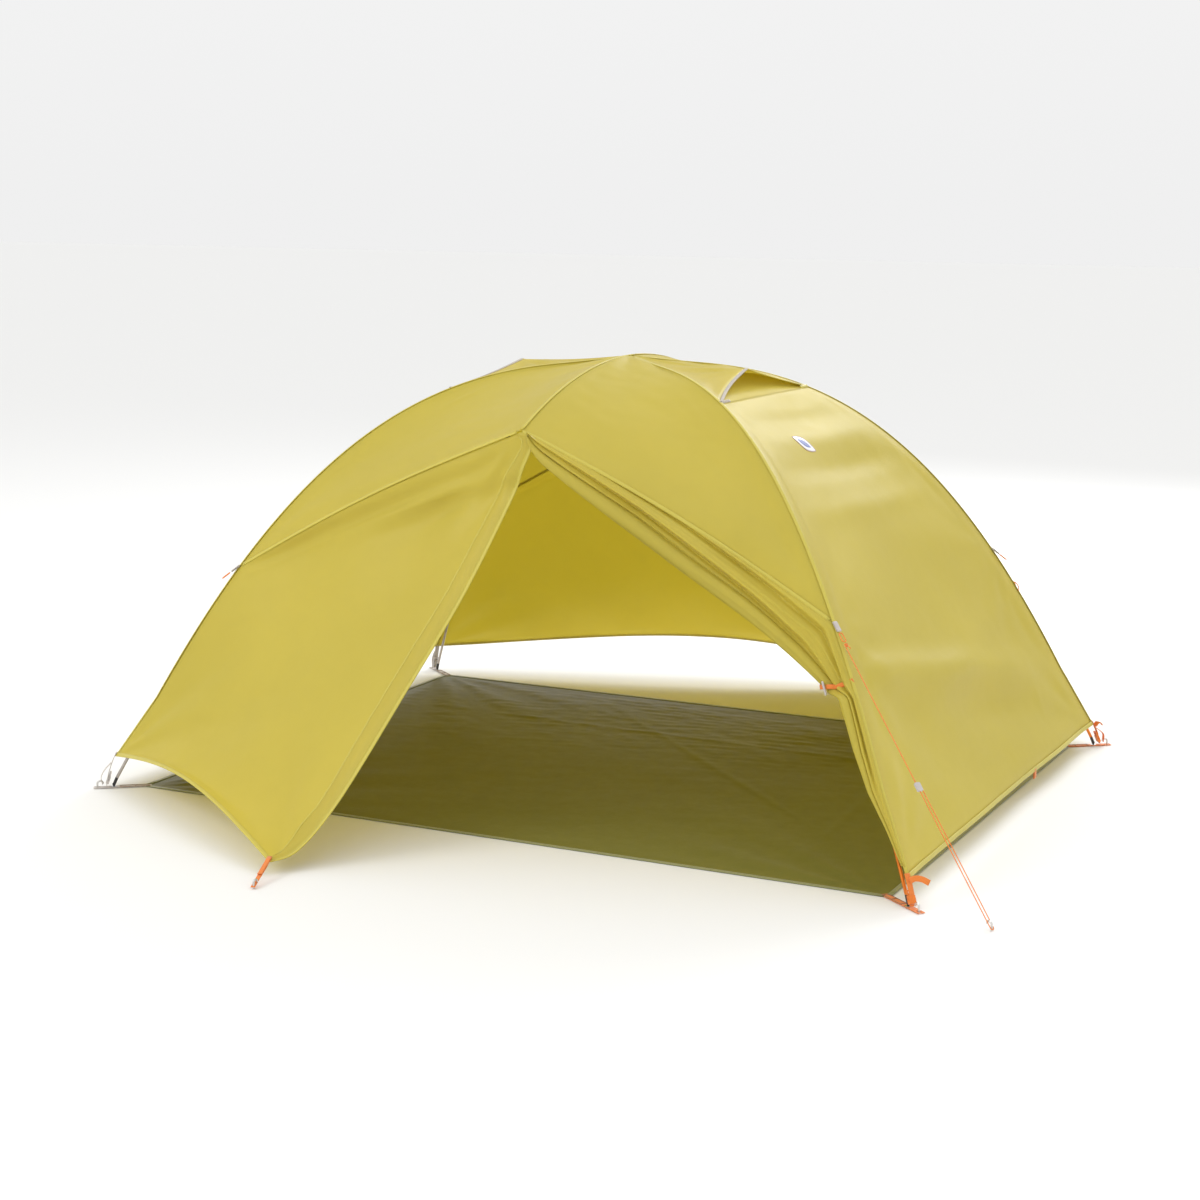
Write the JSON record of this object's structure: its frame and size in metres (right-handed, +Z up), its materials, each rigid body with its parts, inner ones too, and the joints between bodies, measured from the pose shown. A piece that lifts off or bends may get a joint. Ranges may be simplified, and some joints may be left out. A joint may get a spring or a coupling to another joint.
{
  "type": "dome tent",
  "caption": "Two-door dome tent on crossed poles: rain fly, hub, brow pole, groundsheet, vestibules, pegs, buckles and a guyline.",
  "frame": {"origin": "middle of the groundsheet's underside, on the ground", "axes": "X along the groundsheet's length, -Y out of the open door, +Z up"},
  "size_m": [2.7049, 3.1256, 1.4004],
  "materials": {
    "fly_fabric": "satin coated ripstop, chartreuse",
    "footprint_fabric": "satin coated, dark olive",
    "mesh": "fine black-olive mesh",
    "zip_tape": "woven tape",
    "webbing_grey": "woven webbing",
    "webbing_orange": "woven webbing",
    "plastic_grey": "matt moulded",
    "plastic_orange": "matt moulded",
    "moulded_black": "matt moulded",
    "pole_alloy": "bronze anodised",
    "pole_grey": "grey anodised",
    "pole_orange": "orange anodised",
    "bright_metal": "satin",
    "elastic": "braided elastic",
    "cord_orange": "braided cord",
    "patch_print": "smooth printed patch"
  },
  "bodies": {
    "tent": {"brow_pole": "pole_alloy", "buckle_sockets_left": "plastic_grey", "buckle_sockets_right": "plastic_orange", "corner_tabs_left": "webbing_grey", "corner_tabs_right": "webbing_orange", "door_back_left": "fly_fabric", "door_back_right": "fly_fabric", "door_front_left": "fly_fabric", "fly_end_left": "fly_fabric", "fly_end_right": "fly_fabric", "fly_roof_back_left": "fly_fabric", "fly_roof_back_right": "fly_fabric", "fly_roof_front_left": "fly_fabric", "fly_roof_front_right": "fly_fabric", "fly_straps_left": "webbing_grey", "fly_straps_right": "webbing_orange", "footprint": "footprint_fabric", "grommets": "bright_metal", "guyline": "cord_orange", "guyout_loops": "cord_orange", "guyout_tabs": "webbing_grey", "hem_tabs": "webbing_orange", "hub_body": "moulded_black", "hub_cap": "moulded_black", "hub_screws": "bright_metal", "leg_back_left": "pole_alloy", "leg_back_right": "pole_alloy", "leg_front_left": "pole_alloy", "leg_front_right": "pole_alloy", "lower_sections_left": "pole_grey", "lower_sections_right": "pole_orange", "patch": "patch_print", "pole_sleeves": "pole_alloy", "pole_tips": "moulded_black", "rolled_door": "fly_fabric", "shock_cords": "elastic", "storm_flaps": "fly_fabric", "tieback_loops": "cord_orange", "vent_hood_left": "fly_fabric", "vent_hood_right": "fly_fabric", "vent_mesh": "mesh", "vestibule_straps": "webbing_orange", "zip_tapes": "zip_tape"},
    "front_zip_slider": {"zip_slider_front": "moulded_black"},
    "back_zip_slider": {"zip_slider_back": "moulded_black"},
    "front_left_buckle_clip": {"buckle_clip_front_left": "plastic_grey"},
    "front_right_buckle_clip": {"buckle_clip_front_right": "plastic_orange"},
    "back_left_buckle_clip": {"buckle_clip_back_left": "plastic_grey"},
    "back_right_buckle_clip": {"buckle_clip_back_right": "plastic_orange"},
    "front_left_peg": {"peg_front_left": "bright_metal"},
    "front_right_peg": {"peg_front_right": "bright_metal"},
    "back_left_peg": {"peg_back_left": "bright_metal"},
    "back_right_peg": {"peg_back_right": "bright_metal"},
    "vestibule_front_peg": {"peg_vestibule_front": "bright_metal"},
    "vestibule_back_peg": {"peg_vestibule_back": "bright_metal"},
    "guyline_peg": {"peg_guyline": "bright_metal"},
    "guyline_tensioner": {"line_tensioner": "plastic_grey"},
    "door_toggle": {"tieback_toggle": "plastic_grey"}
  },
  "joints": [
    {"name": "front_zip", "type": "slide", "parent": "tent", "child": "front_zip_slider", "axis": [-0.2417, -0.5284, -0.8139], "range_m": [0, 0.991]},
    {"name": "back_zip", "type": "slide", "parent": "tent", "child": "back_zip_slider", "axis": [-0.2412, -0.5694, 0.7858], "range_m": [0, 1.151]},
    {"name": "front_left_buckle", "type": "slide", "parent": "tent", "child": "front_left_buckle_clip", "axis": [0.2521, 0.1963, 0.9476], "range_m": [0, 0.014]},
    {"name": "front_right_buckle", "type": "slide", "parent": "tent", "child": "front_right_buckle_clip", "axis": [-0.3256, 0.2536, 0.9109], "range_m": [0, 0.014]},
    {"name": "back_left_buckle", "type": "slide", "parent": "tent", "child": "back_left_buckle_clip", "axis": [0.2521, -0.1963, 0.9476], "range_m": [0, 0.014]},
    {"name": "back_right_buckle", "type": "slide", "parent": "tent", "child": "back_right_buckle_clip", "axis": [-0.3256, -0.2536, 0.9109], "range_m": [0, 0.014]},
    {"name": "front_left_peg_pull", "type": "slide", "parent": "tent", "child": "front_left_peg", "axis": [0, 0, 1], "range_m": [0, 0.17]},
    {"name": "front_right_peg_pull", "type": "slide", "parent": "tent", "child": "front_right_peg", "axis": [0, 0, 1], "range_m": [0, 0.17]},
    {"name": "back_left_peg_pull", "type": "slide", "parent": "tent", "child": "back_left_peg", "axis": [0, 0, 1], "range_m": [0, 0.17]},
    {"name": "back_right_peg_pull", "type": "slide", "parent": "tent", "child": "back_right_peg", "axis": [0, 0, 1], "range_m": [0, 0.17]},
    {"name": "vestibule_front_peg_pull", "type": "slide", "parent": "tent", "child": "vestibule_front_peg", "axis": [0, 0, 1], "range_m": [0, 0.17]},
    {"name": "vestibule_back_peg_pull", "type": "slide", "parent": "tent", "child": "vestibule_back_peg", "axis": [0, 0, 1], "range_m": [0, 0.17]},
    {"name": "guyline_peg_pull", "type": "slide", "parent": "tent", "child": "guyline_peg", "axis": [0, 0, 1], "range_m": [0, 0.17]},
    {"name": "guyline_tension", "type": "slide", "parent": "tent", "child": "guyline_tensioner", "axis": [0.5963, -0.3492, -0.7228], "range_m": [0, 0.25]},
    {"name": "door_toggle_turn", "type": "hinge", "parent": "tent", "child": "door_toggle", "pos_m": [0.911, -0.77, 0.486], "axis": [0, -1, 0], "range_deg": [0, 90]}
  ]
}
